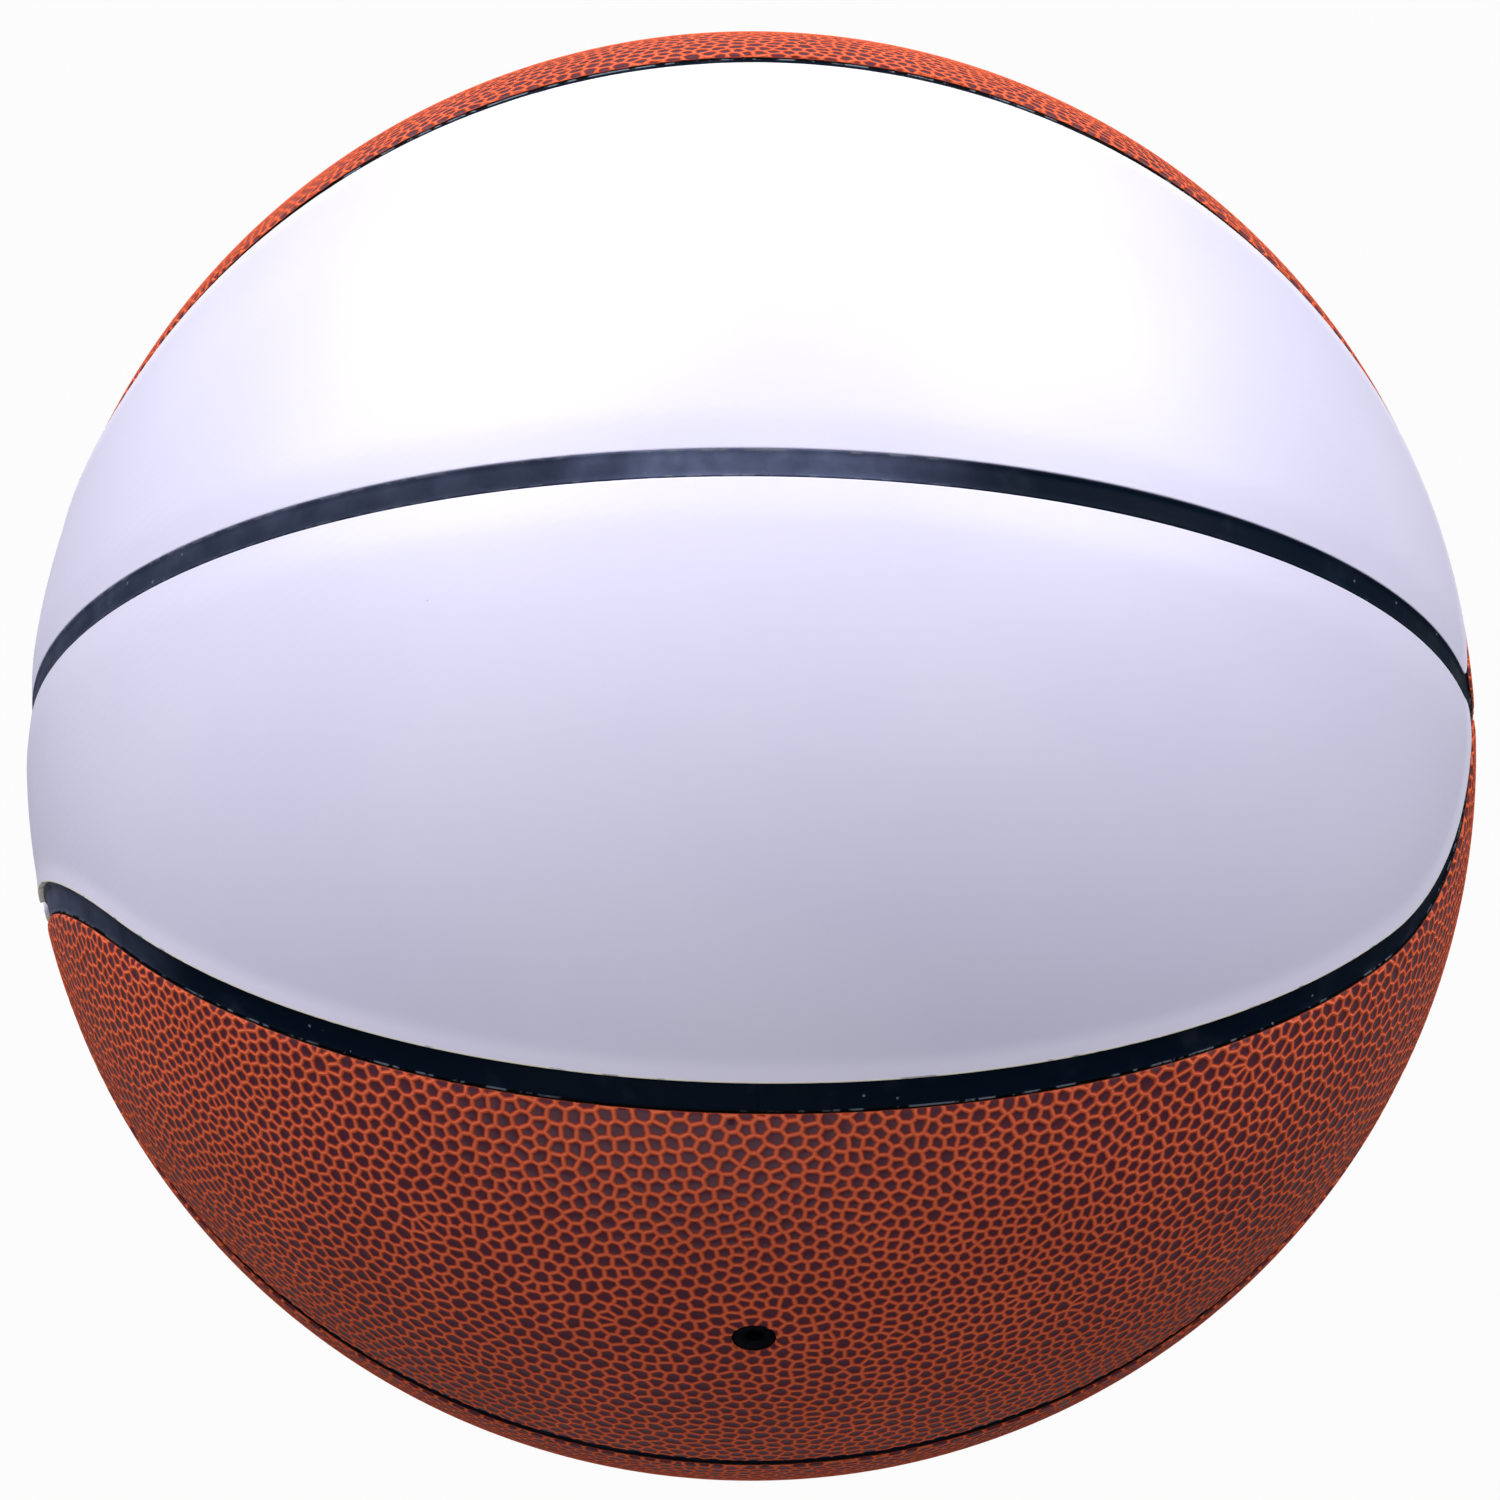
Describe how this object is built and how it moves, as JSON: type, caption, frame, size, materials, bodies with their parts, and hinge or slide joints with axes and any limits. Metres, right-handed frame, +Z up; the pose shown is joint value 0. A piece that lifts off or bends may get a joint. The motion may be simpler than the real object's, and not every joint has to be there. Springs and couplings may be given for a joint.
{
  "type": "basketball",
  "caption": "Full-size indoor ball with smooth white signing panels, pebbled brown panels, black channels and an inflation valve.",
  "frame": {"origin": "centre of the ball", "axes": "X runs through the two crossings of the straight channels, which lie in the XZ and XY planes; +Z is up, and the valve faces -Y, 22.5 degrees above level"},
  "size_m": [0.2408, 0.2408, 0.241],
  "materials": {
    "smooth_cover": "smooth satin synthetic leather",
    "pebbled_cover": "pebbled synthetic leather",
    "backing_cloth": "undyed cloth",
    "channel_rubber": "moulded, satin",
    "nylon_thread": "wound thread in cement",
    "bladder_rubber": "smooth butyl",
    "valve_rubber": "moulded, satin"
  },
  "bodies": {
    "ball": {"smooth_cover_front_top": "smooth_cover", "smooth_cover_back_top": "smooth_cover", "smooth_cover_back_bottom": "smooth_cover", "smooth_cover_front_bottom": "smooth_cover", "pebbled_cover_front_top": "pebbled_cover", "pebbled_cover_back_top": "pebbled_cover", "pebbled_cover_back_bottom": "pebbled_cover", "pebbled_cover_front_bottom": "pebbled_cover", "smooth_backing_front_top": "backing_cloth", "smooth_backing_back_top": "backing_cloth", "smooth_backing_back_bottom": "backing_cloth", "smooth_backing_front_bottom": "backing_cloth", "pebbled_backing_front_top": "backing_cloth", "pebbled_backing_back_top": "backing_cloth", "pebbled_backing_back_bottom": "backing_cloth", "pebbled_backing_front_bottom": "backing_cloth", "carcass": "channel_rubber", "thread_winding": "nylon_thread", "bladder": "bladder_rubber", "valve_patch": "bladder_rubber", "valve_body": "valve_rubber"},
    "valve_core": {"valve_core": "valve_rubber"}
  },
  "joints": [
    {"name": "valve_core_pull", "type": "slide", "parent": "ball", "child": "valve_core", "axis": [0, -0.9239, 0.3827], "range_m": [0, 0.024]}
  ]
}
